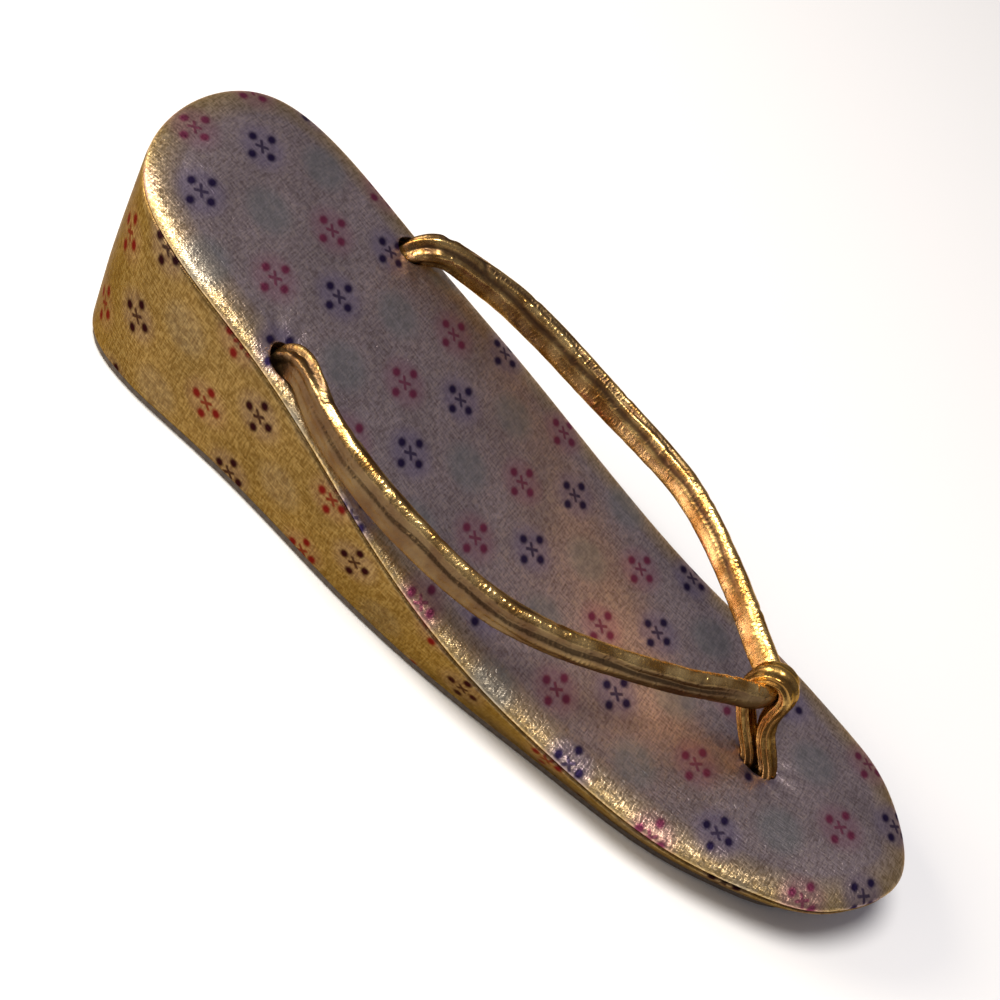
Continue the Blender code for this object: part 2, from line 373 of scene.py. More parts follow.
# The brocade's small four-dot flowers: diamonds of rows, each row one colour, three colours in turn
motif = dict(
    across=0.02416,
    row=0.01208,
    dotOut=0.0041,
    dotUp=0.0031,
    dotAcross=0.00138,
    dotAlong=0.00108,
    soft=0.50,
    halo=0.0080,
    haloCore=0.45,
    cross=0.0022,
    crossCore=0.7,
    armHalf=0.0003,
    armEdge=0.0009,
    crossAmount=0.85,
    sageFaint=0.72,
    navy=(0.034, 0.022, 0.075),
    sage=(0.160, 0.165, 0.165),
    rose=(0.250, 0.050, 0.105),
    navyHalo=(0.320, 0.270, 0.470),
    sageHalo=(0.360, 0.400, 0.400),
    roseHalo=(0.560, 0.270, 0.350),
)


def makeMotifGroup():
    outputs = {"Color": "Color", "Halo Color": "Color", "Dots": "Float", "Halo": "Float"}
    tree, inside, out = newGroup("ShaderNodeTree", "four dot motifs", {"Cloth": "Vector"}, outputs)
    split = wire(node(tree, "ShaderNodeSeparateXYZ"), Vector=inside.outputs["Cloth"])
    dots, halos, hues, tints = [], [], [], []
    for odd in (0, 1):
        u = calc("SUBTRACT", split.outputs["X"], odd * motif["across"] / 2)
        v = calc("SUBTRACT", split.outputs["Y"], odd * motif["row"])
        column = calc("ROUND", calc("DIVIDE", u, motif["across"]))
        pair = calc("ROUND", calc("DIVIDE", v, 2 * motif["row"]))
        dx = calc("ABSOLUTE", calc("MULTIPLY_ADD", column, -motif["across"], u))
        dy = calc("ABSOLUTE", calc("MULTIPLY_ADD", pair, -2 * motif["row"], v))
        shapes = []
        for offX, offY in ((motif["dotOut"], 0), (0, motif["dotUp"])):
            ex = calc("DIVIDE", calc("SUBTRACT", dx, offX), motif["dotAcross"])
            ey = calc("DIVIDE", calc("SUBTRACT", dy, offY), motif["dotAlong"])
            shapes.append(fade(length(ex, ey), 1 - motif["soft"], 1 + motif["soft"], 1.0, 0.0))
        away = length(dx, dy)
        # a small saltire in the middle
        slant = calc("ABSOLUTE", calc("SUBTRACT", dx, dy))
        arm = fade(slant, motif["armHalf"], motif["armEdge"], motif["crossAmount"], 0.0)
        inReach = fade(away, motif["cross"] * motif["crossCore"], motif["cross"], 1.0, 0.0)
        mask = calc("MAXIMUM", calc("MAXIMUM", *shapes), calc("MULTIPLY", arm, inReach))
        halos.append(fade(away, motif["halo"] * motif["haloCore"], motif["halo"], 1.0, 0.0))
        hue = calc("FLOORED_MODULO", calc("MULTIPLY_ADD", pair, 2.0, float(odd)), 3.0)
        isSage = calc("COMPARE", hue, 1.0, 0.4)
        isRose = calc("COMPARE", hue, 2.0, 0.4)
        hues.append(blend(isRose, blend(isSage, motif["navy"], motif["sage"]), motif["rose"]))
        tint = blend(isSage, motif["navyHalo"], motif["sageHalo"])
        tints.append(blend(isRose, tint, motif["roseHalo"]))
        dots.append(calc("MULTIPLY", mask, calc("MULTIPLY_ADD", isSage, -motif["sageFaint"], 1.0)))
    useOdd = calc("GREATER_THAN", halos[1], halos[0])
    color, tint = blend(useOdd, *hues), blend(useOdd, *tints)
    wire(out, Color=color, Halo_Color=tint, Dots=calc("MAXIMUM", *dots), Halo=calc("MAXIMUM", *halos))
    return tree


# Metallic threads: fine warp and weft, uneven in tone, with the odd thread that catches the light
thread = dict(
    warp=0.00052,
    weft=0.00046,
    fine=0.00050,
    run=0.0030,
    glintSize=0.00060,
    darkest=0.34,
    lightest=0.66,
    streakTone=0.70,
    streakHeight=1.1,
    crossingHeight=0.35,
    glintHeight=0.35,
    giltFrom=0.75,
    giltTo=1.25,
)


def makeWeaveGroup():
    inputs = {"Cloth": "Vector", "Glint Tilt": "Float"}
    outputs = {"Height": "Float", "Tone": "Float", "Gilt": "Float", "Normal": "Vector"}
    tree, inside, out = newGroup("ShaderNodeTree", "metallic weave", inputs, outputs)
    cloth = inside.outputs["Cloth"]
    split = wire(node(tree, "ShaderNodeSeparateXYZ"), Vector=cloth)
    waves, streaks = [], []
    for axis, pitch, stretch in (
        ("X", thread["warp"], (1 / thread["fine"], 1 / thread["run"], 1)),
        ("Y", thread["weft"], (1 / thread["run"], 1 / thread["fine"], 1)),
    ):
        waves.append(calc("COSINE", calc("MULTIPLY", split.outputs[axis], 2 * math.pi / pitch)))
        streak = noiseNode(vectorCalc("MULTIPLY", cloth, stretch), 1.0, 2.0, noise_dimensions="2D")
        streaks.append(wire(streak, Roughness=0.6).outputs["Fac"])
    cells = node(tree, "ShaderNodeTexVoronoi", voronoi_dimensions="2D", feature="F1")
    wire(cells, Vector=cloth, Scale=1 / thread["glintSize"])
    pick = wire(node(tree, "ShaderNodeSeparateColor"), Color=cells.outputs["Color"]).outputs
    threads = calc("MULTIPLY", calc("ADD", *streaks), 0.5)
    threads = fade(threads, thread["darkest"], thread["lightest"])
    tone = calc("MULTIPLY", threads, thread["streakTone"])
    tone = calc("MULTIPLY_ADD", pick[0], 1 - thread["streakTone"], tone)
    height = calc("MULTIPLY", threads, thread["streakHeight"])
    height = calc("MULTIPLY_ADD", calc("MULTIPLY", *waves), thread["crossingHeight"], height)
    height = calc("MULTIPLY_ADD", pick[2], thread["glintHeight"], height)
    gilt = calc("MULTIPLY_ADD", pick[1], 0.5, threads)
    gilt = fade(gilt, thread["giltFrom"], thread["giltTo"])
    # each fleck of thread leans its own way
    shift = vectorCalc("SUBTRACT", cells.outputs["Color"], (0.5, 0.5, 0.5))
    tilt = node(tree, "ShaderNodeVectorMath", operation="SCALE")
    wire(tilt, Vector=shift, Scale=inside.outputs["Glint Tilt"])
    facing = node(tree, "ShaderNodeNewGeometry").outputs["Normal"]
    normal = vectorCalc("NORMALIZE", vectorCalc("ADD", facing, tilt.outputs[0]))
    wire(out, Height=height, Tone=tone, Gilt=gilt, Normal=normal)
    return tree


def newMaterial(name):
    made = bpy.data.materials.new(name)
    made.use_nodes = True
    tree = made.node_tree
    return made, tree, tree.nodes["Principled BSDF"]


brocade = dict(
    # colours painted over the pad's rounded edge: a painted highlight and painted warm side light, in
    # gold
    rimDark=(0.350, 0.230, 0.090),
    rimLight=(0.820, 0.600, 0.280),
    driftScale=60.0,
    toneGloss=0.10,
    dotDullness=0.10,
    dotRaise=0.9,
    bump=0.00006,
    bumpStrength=0.6,
)


def makeBrocade(name, **looks):
    made, tree, shader = newMaterial(name)
    cloth = node(tree, "ShaderNodeUVMap", uv_map="cloth").outputs["UV"]
    rim = node(tree, "ShaderNodeAttribute", attribute_name="rim").outputs["Fac"]
    tilt = calc("MULTIPLY_ADD", rim, looks["rimTilt"], looks["tilt"])
    weave = useGroup(tree, weaveGroup, Cloth=cloth, Glint_Tilt=tilt).outputs
    flowers = useGroup(tree, motifGroup, Cloth=cloth).outputs
    ground = blend(weave["Tone"], looks["dark"], looks["light"])
    # over the rounded edge the colour turns to gold: a painted highlight and painted warm light
    edge = blend(weave["Tone"], brocade["rimDark"], brocade["rimLight"])
    ground = blend(rim, ground, edge)
    ground = blend(calc("MULTIPLY", weave["Gilt"], looks["giltAmount"]), ground, looks["gilt"])
    drift = noiseNode(cloth, brocade["driftScale"], 2.0).outputs["Fac"]
    shade = fade(drift, 0.3, 0.7, looks["driftLow"], looks["driftHigh"])
    ground = blend(1.0, ground, shade, "MULTIPLY")
    ground = blend(calc("MULTIPLY", flowers["Halo"], looks["halo"]), ground, flowers["Halo Color"])
    # painted light: the flowers take the copy's light tint
    dyed = blend(1.0, flowers["Color"], looks["dye"], "MULTIPLY")
    ground = blend(flowers["Dots"], ground, dyed)
    rough = calc("MULTIPLY_ADD", weave["Tone"], -brocade["toneGloss"], looks["rough"])
    rough = calc("MULTIPLY_ADD", flowers["Dots"], brocade["dotDullness"], rough)
    rough = calc("MULTIPLY_ADD", rim, looks["rimRough"], rough)
    wire(shader, Base_Color=ground, Roughness=rough, Metallic=looks["metal"])
    wire(shader, Specular_Tint=looks["edgeTint"])
    raised = calc("MULTIPLY_ADD", flowers["Dots"], brocade["dotRaise"], weave["Height"])
    bump = bumpNode(shader, raised, brocade["bump"], brocade["bumpStrength"])
    wire(bump, Normal=weave["Normal"])
    return made


# Crinkle of the thin gold skin on straps and post
crinkle = dict(
    stretch=0.55,
    fineScale=2600.0,
    patchScale=140.0,
    fineHeight=0.22,
    toneFade=(0.35, 0.70),
    wearFade=(0.45, 0.75),
)


def makeCrinkleGroup():
    inputs = {"Cloth": "Vector", "Fold Size": "Float"}
    outputs = {"Height": "Float", "Tone": "Float", "Wear": "Float"}
    tree, inside, out = newGroup("ShaderNodeTree", "gold skin crinkle", inputs, outputs)
    cloth = inside.outputs["Cloth"]
    stretched = vectorCalc("MULTIPLY", cloth, (crinkle["stretch"], 1.0, 1.0))
    broad = noiseNode(stretched, inside.outputs["Fold Size"], 4.0, noise_type="RIDGED_MULTIFRACTAL")
    fine = noiseNode(cloth, crinkle["fineScale"], 2.0).outputs["Fac"]
    patch = noiseNode(cloth, crinkle["patchScale"], 3.0).outputs["Fac"]
    height = calc("MULTIPLY_ADD", fine, crinkle["fineHeight"], broad.outputs["Fac"])
    tone, wear = fade(patch, *crinkle["toneFade"]), fade(fine, *crinkle["wearFade"])
    wire(out, Height=height, Tone=tone, Wear=wear)
    return tree


goldSkin = dict(
    metal=0.97,
    rough=0.22,
    foldSize=900.0,
    creaseAmount=0.88,
    wearDullness=0.14,
    creaseDullness=0.12,
    bumpStrength=0.7,
    coat=0.12,
    coatRough=0.14,
)


def makeGoldSkin(name, **looks):
    made, tree, shader = newMaterial(name)
    cloth = node(tree, "ShaderNodeUVMap", uv_map="cloth").outputs["UV"]
    skin = useGroup(tree, crinkleGroup, Cloth=cloth, Fold_Size=goldSkin["foldSize"]).outputs
    tone = blend(skin["Tone"], looks["deep"], looks["bright"])
    # the painted shade mask darkens the skin towards the crease colour, a painted shade in creases and
    # pleats
    hollow = node(tree, "ShaderNodeAttribute", attribute_name="hollow").outputs["Fac"]
    shadeAmount = calc("MULTIPLY", hollow, goldSkin["creaseAmount"])
    rough = calc("MULTIPLY_ADD", skin["Wear"], goldSkin["wearDullness"], goldSkin["rough"])
    rough = calc("MULTIPLY_ADD", hollow, goldSkin["creaseDullness"], rough)
    bumpNode(shader, skin["Height"], looks["bump"], goldSkin["bumpStrength"])
    color = blend(shadeAmount, tone, looks["crease"])
    wire(shader, Base_Color=color, Roughness=rough, Metallic=goldSkin["metal"])
    wire(shader, Specular_Tint=looks["edgeTint"])
    wire(shader, Coat_Weight=goldSkin["coat"], Coat_Roughness=goldSkin["coatRough"])
    return made


stitchThread = dict(
    dark=(0.10, 0.055, 0.018),
    light=(0.26, 0.16, 0.06),
    rough=(0.45, 0.70),
    twistScale=3500.0,
)


def makeThread():
    made, tree, shader = newMaterial("dark gold thread")
    place = node(tree, "ShaderNodeTexCoord").outputs["Object"]
    twist = noiseNode(place, stitchThread["twistScale"], 2.0).outputs["Fac"]
    tone = blend(twist, stitchThread["dark"], stitchThread["light"])
    wire(shader, Base_Color=tone, Roughness=fade(twist, 0.3, 0.7, *stitchThread["rough"]))
    return made


rubber = dict(
    dark=(0.040, 0.027, 0.018),
    light=(0.085, 0.060, 0.042),
    rough=(0.62, 0.85),
    ribScale=120.0,
    grainScale=900.0,
    grainHeight=0.35,
    bump=0.0003,
    bumpStrength=0.6,
)


def makeRubber():
    made, tree, shader = newMaterial("brown outsole rubber")
    place = node(tree, "ShaderNodeTexCoord").outputs["Object"]
    ribs = node(tree, "ShaderNodeTexWave", wave_type="BANDS", bands_direction="Y", wave_profile="TRI")
    wire(ribs, Vector=place, Scale=rubber["ribScale"])
    grain = noiseNode(place, rubber["grainScale"], 4.0).outputs["Fac"]
    height = calc("MULTIPLY_ADD", grain, rubber["grainHeight"], ribs.outputs["Fac"])
    bumpNode(shader, height, rubber["bump"], rubber["bumpStrength"])
    tone = blend(grain, rubber["dark"], rubber["light"])
    wire(shader, Base_Color=tone, Roughness=fade(grain, 0.2, 0.8, *rubber["rough"]))
    return made


motifGroup = makeMotifGroup()
weaveGroup = makeWeaveGroup()
crinkleGroup = makeCrinkleGroup()
# the top and the side are one brocade in two copies: the top's mauve-grey colours are painted cool light
# from above, and the side's gold colours and warmer flowers are painted warm light on the sides
topBrocade = makeBrocade(
    "mauve gold brocade",
    dark=(0.300, 0.226, 0.212),
    light=(0.700, 0.580, 0.605),
    gilt=(0.760, 0.600, 0.410),
    giltAmount=0.30,
    driftLow=0.86,
    driftHigh=1.10,
    halo=0.45,
    dye=(1.0, 1.0, 1.0),
    metal=0.97,
    edgeTint=(0.52, 0.44, 0.44),
    rough=0.39,
    rimRough=0.02,
    tilt=0.05,
    rimTilt=0.16,
)
sideBrocade = makeBrocade(
    "gold side brocade",
    dark=(0.130, 0.073, 0.022),
    light=(0.290, 0.186, 0.066),
    gilt=(0.370, 0.260, 0.100),
    giltAmount=0.25,
    driftLow=0.86,
    driftHigh=1.08,
    halo=0.06,
    dye=(0.55, 0.25, 0.10),
    metal=0.98,
    edgeTint=(0.50, 0.40, 0.30),
    rough=0.40,
    rimRough=0.0,
    tilt=0.08,
    rimTilt=0.0,
)
strapSkin = makeGoldSkin(
    "glossy gold strap skin",
    deep=(0.370, 0.190, 0.045),
    bright=(0.970, 0.680, 0.270),
    # crease: the colour of the painted shade
    crease=(0.078, 0.043, 0.026),
    edgeTint=(0.66, 0.46, 0.26),
    bump=0.00038,
)
postSkin = makeGoldSkin(
    "glossy gold post skin",
    deep=(0.280, 0.140, 0.032),
    bright=(0.640, 0.400, 0.120),
    # crease: the colour of the painted shade
    crease=(0.045, 0.022, 0.009),
    edgeTint=(0.70, 0.50, 0.28),
    bump=0.00016,
)
print("finishes made")


# Straps: one padded band from hole to hole
strap = dict(
    holeFromHeel=0.0548,
    holeOut=0.0277,
    apexFromHeel=0.1832,
    rise=0.0200,
    reach=0.0398,
    height=0.0100,
    thickness=0.0056,
    apexShare=0.80,
    tailDepth=0.0085,
    tailHeight=0.62,
    tailThickness=0.92,
    sides=72,
    steps=620,
    girth=0.025,
    foldTwist=0.16,  # share of a leg over which the folds turn
    pleatReach=0.027,
    pleatDepth=0.00060,
    shoulder=0.00035,
    shoulderAt=0.0125,
    shoulderReach=0.0030,
    crumple=0.00007,
    waviness=0.00010,
    # crease depth at which the painted shade is full, and below the strength of painted shade in the
    # pleats
    paintedShadeDepth=0.0004,
    holeSlack=0.0008,
    holeGrow=0.0009,
    # painted shade on the band's outer lower face: strength, angle round the band, half reach and soft
    # edge
    outerShade=0.82,
    outerShadeAt=2.00,
    outerShadeHalf=1.55,
    outerShadeEdge=0.4,
    pleatShade=0.9,
)
Leg = namedtuple("Leg", "along out rise height thickness")
legRows = [
    Leg(0.030, 0.742, 0.16, 0.70, 0.98),
    Leg(0.100, 0.860, 0.27, 0.84, 1.00),
    Leg(0.180, 0.945, 0.34, 0.94, 1.00),
    Leg(0.290, 0.990, 0.46, 0.98, 1.00),
    Leg(0.400, 0.990, 0.58, 0.96, 1.00),
    Leg(0.530, 0.955, 0.74, 0.90, 0.97),
    Leg(0.665, 0.830, 0.95, 0.83, 0.94),
    Leg(0.800, 0.575, 1.04, 0.78, 0.92),
    Leg(0.880, 0.385, 1.04, 0.78, 0.92),
    Leg(0.950, 0.196, 1.02, 0.78, 0.92),
    Leg(0.990, 0.080, 1.00, 0.78, 0.92),
]
# Creases: side of the shoe, distance along from the hole, degrees round the band from its
# upper ridge, half length round the band, width and depth, and slant in degrees
Crease = namedtuple("Crease", "side along around reach width depth slant")
strapCreases = [
    Crease(1, 0.0125, 40, 0.0042, 0.0007, 0.00042, 12),
    Crease(1, 0.0165, -70, 0.0050, 0.0008, 0.00034, -18),
    Crease(1, 0.0230, 20, 0.0050, 0.0007, 0.00026, 25),
    Crease(1, 0.0330, -30, 0.0046, 0.0008, 0.00024, -22),
    Crease(1, 0.0450, 45, 0.0040, 0.0007, 0.00022, 15),
    Crease(1, 0.0610, -40, 0.0045, 0.0008, 0.00020, -12),
    Crease(1, 0.0780, 60, 0.0048, 0.0008, 0.00024, 20),
    Crease(1, 0.0935, -15, 0.0045, 0.0007, 0.00024, -25),
    Crease(1, 0.1060, 40, 0.0044, 0.0008, 0.00028, 18),
    Crease(1, 0.1185, -50, 0.0040, 0.0007, 0.00028, -14),
    Crease(1, 0.1300, 20, 0.0042, 0.0007, 0.00034, 22),
    Crease(1, 0.1390, -30, 0.0040, 0.0007, 0.00036, -20),
    Crease(-1, 0.0120, -50, 0.0045, 0.0008, 0.00046, -10),
    Crease(-1, 0.0155, 60, 0.0048, 0.0008, 0.00036, 16),
    Crease(-1, 0.0250, -20, 0.0048, 0.0007, 0.00026, -24),
    Crease(-1, 0.0400, 35, 0.0046, 0.0008, 0.00022, 20),
    Crease(-1, 0.0560, -60, 0.0045, 0.0008, 0.00022, -15),
    Crease(-1, 0.0720, 30, 0.0045, 0.0008, 0.00022, 18),
    Crease(-1, 0.0890, -35, 0.0046, 0.0007, 0.00024, -20),
    Crease(-1, 0.1040, 50, 0.0044, 0.0008, 0.00026, 15),
    Crease(-1, 0.1190, -20, 0.0042, 0.0008, 0.00030, -22),
    Crease(-1, 0.1330, 35, 0.0040, 0.0007, 0.00034, 20),
]
# Soft folds that run lengthwise: degrees round from the upper ridge at the hole and further on, with the
# outer side positive, from and to as shares of a leg, width and depth
Fold = namedtuple("Fold", "around later start end width depth")
strapFolds = [
    Fold(96, 64, 0.00, 0.97, 0.0011, 0.00085),
    Fold(26, -14, 0.00, 0.70, 0.0010, 0.00045),
    Fold(140, 108, 0.00, 0.60, 0.0013, 0.00040),
    Fold(-40, -60, 0.03, 0.90, 0.0011, 0.00045),
    Fold(124, 124, 0.45, 0.98, 0.0012, 0.00035),
]


def strapRoute(steps):
    holeY = strap["holeFromHeel"] - sole["length"] / 2
    apexY = strap["apexFromHeel"] - sole["length"] / 2
    tail = (strap["height"] * strap["tailHeight"], strap["thickness"] * strap["tailThickness"])
    holeZ = float(topHeight(holeY))
    right = [
        (strap["holeOut"], holeY, holeZ - strap["tailDepth"], *tail),
        (strap["holeOut"], holeY, holeZ - strap["tailDepth"] / 3, *tail),
    ]
    for row in legRows:
        y = holeY + (apexY - holeY) * row.along
        z = float(topHeight(y)) + strap["rise"] * row.rise
        section = (strap["height"] * row.height, strap["thickness"] * row.thickness)
        right.append((strap["reach"] * row.out, y, z, *section))
    apexZ = float(topHeight(apexY)) + strap["rise"]
    middle = (0, apexY, apexZ, strap["height"] * strap["apexShare"], right[-1][4])
    left = [(-x, *rest) for x, *rest in right[::-1]]
    rows = evenRoute([*right, middle, *left], steps)
    route, height, thickness = rows[:, :3], rows[:, 3], rows[:, 4]
    run = np.gradient(route, axis=0)
    run /= np.linalg.norm(run, axis=1, keepdims=True)
    half = steps // 2
    toLeft = carriedAlong(run[half:], (0, 0, 1))
    toRight = carriedAlong(run[half::-1], (0, 0, 1))
    return route, np.concatenate([toRight[:0:-1], toLeft]), height, thickness


def ovalSection(turn):
    return np.cos(turn), np.sin(turn)


band = dict(ridge=0.05, ridgeReach=0.32, tallFullness=0.92, wideFullness=0.90)


def bandSection(turn):
    # a full oval with a firmer ridge at the top, where the skin is turned over its padding
    c, s = np.cos(turn), np.sin(turn)
    fromRidge = np.minimum(turn, 2 * math.pi - turn)
    ridge = band["ridge"] * np.exp(-((fromRidge / band["ridgeReach"]) ** 2))
    up = np.abs(c) ** band["tallFullness"] * np.sign(c)
    out = np.abs(s) ** band["wideFullness"] * np.sign(s)
    return up * (1 + ridge), out * (1 - 0.5 * ridge)


def noSwell(distance, turn, points):
    return 0 * distance


def pocket(name, routeParts, grow, sides=24):
    # a plain cutter that stands a little clear of the piece that passes through
    route, tall, height, thickness = routeParts
    return tube(name, route, tall, height + 2 * grow, thickness + 2 * grow, sides, ovalSection, noSwell)


def roundFrom(turn, angle):
    # how far round the strap each point lies from an angle, in metres
    away = (turn - angle + math.pi) % (2 * math.pi) - math.pi
    return away / (2 * math.pi) * strap["girth"]


wrinkle = dict(amount=0.6, lip=0.45, lipAt=2.1, foldStart=0.08, foldEnd=0.12)


def creaseDepth(distance, turn, total):
    # each crease is a soft trough between two low ridges, and each fold is a long trough
    swell = 0 * distance
    for c in strapCreases:
        start = c.along if c.side > 0 else total - c.along
        ds, dw = distance - start, roundFrom(turn, math.radians(c.around))
        s, k = math.sin(math.radians(c.slant)), math.cos(math.radians(c.slant))
        across, lengthwise = ds * k + dw * s, -ds * s + dw * k
        reach = np.clip(1 - (lengthwise / c.reach) ** 2, 0, 1) ** 1.5
        trough = -np.exp(-((across / c.width) ** 2))
        fromLip = np.abs(across) / c.width - wrinkle["lipAt"]
        ridge = wrinkle["lip"] * np.exp(-(fromLip**2))
        swell = swell + wrinkle["amount"] * c.depth * reach * (trough + ridge)
    share = np.minimum(distance, total - distance) / (total / 2)
    for f in strapFolds:
        angle = f.later + (f.around - f.later) * np.exp(-((share / strap["foldTwist"]) ** 2))
        wander = 0.10 * np.sin(share * 23 + f.around) + 0.05 * np.sin(share * 61 + f.start * 9)
        away = roundFrom(turn, np.radians(angle) + wander)
        there = np.clip((share - f.start) / wrinkle["foldStart"], 0, 1)
        there = there * np.clip((f.end - share) / wrinkle["foldEnd"], 0, 1)
        swell = swell - f.depth * there * np.exp(-((away / f.width) ** 2))
    return swell


def gathered(fromEnd):
    # how tightly the skin is drawn in at a hole
    above = fromEnd - strap["tailDepth"]
    return np.clip(1 - above / strap["pleatReach"], 0, 1) ** 1.2 * np.clip(1 + above / 0.003, 0.4, 1)


def pleatWave(turn):
    return np.cos(5 * turn + 0.7 * np.sin(2 * turn) + 0.4)


def strapSwell(distance, turn, points):
    total = distance[-1, 0]
    fromEnd = np.minimum(distance, total - distance)
    creases = creaseDepth(distance, turn, total)
    pleats = strap["pleatDepth"] * gathered(fromEnd) * pleatWave(turn)
    fromShoulder = (fromEnd - strap["shoulderAt"]) / strap["shoulderReach"]
    shoulder = strap["shoulder"] * np.exp(-(fromShoulder**2))
    crumple = strap["crumple"] * bumps(points * (1, 0.6, 1), 420, 3, 3)
    crumple = crumple + strap["waviness"] * bumps(points, 90, 4, 2)
    return creases + pleats + shoulder + crumple


def makeStraps():
    route, tall, height, thickness = strapRoute(strap["steps"])
    obj = tube("strap_band", route, tall, height, thickness, strap["sides"], bandSection, strapSwell)
    distance = distanceAlong(route)
    turn = turns(strap["sides"])
    swell = creaseDepth(distance[:, None] + 0 * turn, turn + 0 * distance[:, None], distance[-1])
    troughs = np.clip(-swell / strap["paintedShadeDepth"], 0, 1)
    fromEnd = np.minimum(distance, distance[-1] - distance)[:, None]
    pleats = np.clip(-pleatWave(turn), 0, 1) * gathered(fromEnd)
    # painted shade on the outer lower face, which is also made duller
    inside = strap["outerShadeHalf"] - np.abs(turn - strap["outerShadeAt"])
    outerShade = strap["outerShade"] * np.clip(inside / strap["outerShadeEdge"], 0, 1)
    # painted shade in the creases and pleats, added to the outer face's painted shade; it also makes them
    # duller
    mark(obj, "hollow", np.clip(troughs + strap["pleatShade"] * pleats + outerShade, 0, 1))
    obj.data.materials.append(strapSkin)
    return obj


# Running stitches that close the skin under the straps
stitch = dict(spacing=0.0029, length=0.0020, thickness=0.00055, fromHole=0.0070, proud=0.00008)


def makeStitchTree(material):
    inputs = {"Geometry": "Geometry", "Spacing": "Float", "Length": "Float", "Thickness": "Float"}
    tree, inside, out = newGroup("GeometryNodeTree", "running stitches", inputs, {"Geometry": "Geometry"})
    given = inside.outputs
    seam = wire(node(tree, "GeometryNodeMeshToCurve"), Mesh=given["Geometry"])
    places = node(tree, "GeometryNodeResampleCurve", mode="LENGTH")
    wire(places, Curve=seam.outputs["Curve"], Length=given["Spacing"])
    bead = wire(node(tree, "GeometryNodeMeshUVSphere"), Segments=10, Rings=8, Radius=0.5)
    size = wire(node(tree, "ShaderNodeCombineXYZ"), X=given["Thickness"], Y=given["Thickness"])
    wire(size, Z=given["Length"])
    shaped = node(tree, "GeometryNodeTransform")
    wire(shaped, Geometry=bead.outputs["Mesh"], Scale=size.outputs[0])
    turn = node(tree, "FunctionNodeAlignRotationToVector", axis="Z")
    wire(turn, Vector=node(tree, "GeometryNodeInputTangent").outputs[0])
    laid = node(tree, "GeometryNodeInstanceOnPoints")
    wire(laid, Points=places.outputs["Curve"], Instance=shaped.outputs["Geometry"])
    wire(laid, Rotation=turn.outputs["Rotation"])
    real = wire(node(tree, "GeometryNodeRealizeInstances"), Geometry=laid.outputs["Instances"])
    dressed = node(tree, "GeometryNodeSetMaterial")
    wire(dressed, Geometry=real.outputs["Geometry"], Material=material)
    wire(out, Geometry=dressed.outputs["Geometry"])
    return tree


def makeStitches(band):
    # the seam runs along the band's underside, from just above one hole to just above the other
    sides, steps = strap["sides"], strap["steps"]
    coords = np.zeros(len(band.data.vertices) * 3, np.float32)
    band.data.vertices.foreach_get("co", coords)
    rings = coords.reshape(-1, 3)[: sides * (steps + 1)].reshape(steps + 1, sides, 3)
    centre = rings.mean(axis=1)
    line = rings[:, sides // 2]
    away = line - centre
    line = line + away / np.linalg.norm(away, axis=1, keepdims=True) * stitch["proud"]
    distance = distanceAlong(centre)
    fromEnd = np.minimum(distance, distance[-1] - distance)
    line = line[fromEnd > strap["tailDepth"] + stitch["fromHole"]]
    mesh = bpy.data.meshes.new("strap_stitches")
    mesh.from_pydata([tuple(p) for p in line], [(i, i + 1) for i in range(len(line) - 1)], [])
    obj = newObject("strap_stitches", mesh)
    modifier = obj.modifiers.new("stitches", "NODES")
    modifier.node_group = makeStitchTree(makeThread())
    for item in modifier.node_group.interface.items_tree:
        if item.in_out == "INPUT" and item.name.lower() in stitch:
            modifier[item.identifier] = stitch[item.name.lower()]
    obj = applied(obj)
    obj.data.shade_smooth()
    return obj


# Front post: a narrow pleated loop over the meeting point
post = dict(
    fromHeel=0.1943,
    width=0.0074,
    thickness=0.0042,
    pinch=0.0006,
    sides=48,
    steps=240,
    pleatDepth=0.00024,
    crumple=0.00012,
    # strength of the painted shade in the pleat troughs
    hollow=0.6,
    holeGrow=0.0004,
)
Strand = namedtuple("Strand", "rise lean opening width")
strandRows = [
    Strand(0.00, 0.00, 0.00, 0.72),
    Strand(0.24, 0.32, 0.02, 0.74),
    Strand(0.48, 0.68, 0.20, 0.80),
    Strand(0.72, 0.91, 0.66, 0.90),
]
saddleAngles = (0, 45, 90, 135, 180)


def postRoute(steps):
    footY = post["fromHeel"] - sole["length"] / 2
    apexY = strap["apexFromHeel"] - sole["length"] / 2
    footZ = float(topHeight(footY))
    apexZ = float(topHeight(apexY)) + strap["rise"]
    openHalf = strap["thickness"] * legRows[-1].thickness / 2 + post["thickness"] / 2 - post["pinch"]
    footHalf = post["thickness"] / 2 + 2 * sole["clearance"]
    over = strap["height"] * strap["apexShare"] / 2 + post["thickness"] / 2 - post["pinch"]

    def strand(side):
        width = post["width"] * strandRows[0].width
        rows = [(0, footY + side * footHalf, footZ - strap["tailDepth"], width, post["thickness"])]
        for row in strandRows:
            half = footHalf + (openHalf - footHalf) * row.opening
            y = footY + (apexY - footY) * row.lean + side * half
            z = footZ + (apexZ - footZ) * row.rise
            rows.append((0, y, z, post["width"] * row.width, post["thickness"]))
        return rows

    saddle = []
    for angle in saddleAngles:
        turn = math.radians(angle)
        y = apexY + openHalf * math.cos(turn)
        saddle.append((0, y, apexZ + over * math.sin(turn), post["width"], post["thickness"]))
    rows = evenRoute([*strand(1), *saddle, *strand(-1)[::-1]], steps)
    return rows[:, :3], np.tile((1.0, 0, 0), (len(rows), 1)), rows[:, 3], rows[:, 4]


def postPleats(turn):
    return np.cos(8 * turn + 0.6 * np.sin(2 * turn))


def postSwell(distance, turn, points):
    return post["pleatDepth"] * postPleats(turn) + post["crumple"] * bumps(points, 420, 6, 2)


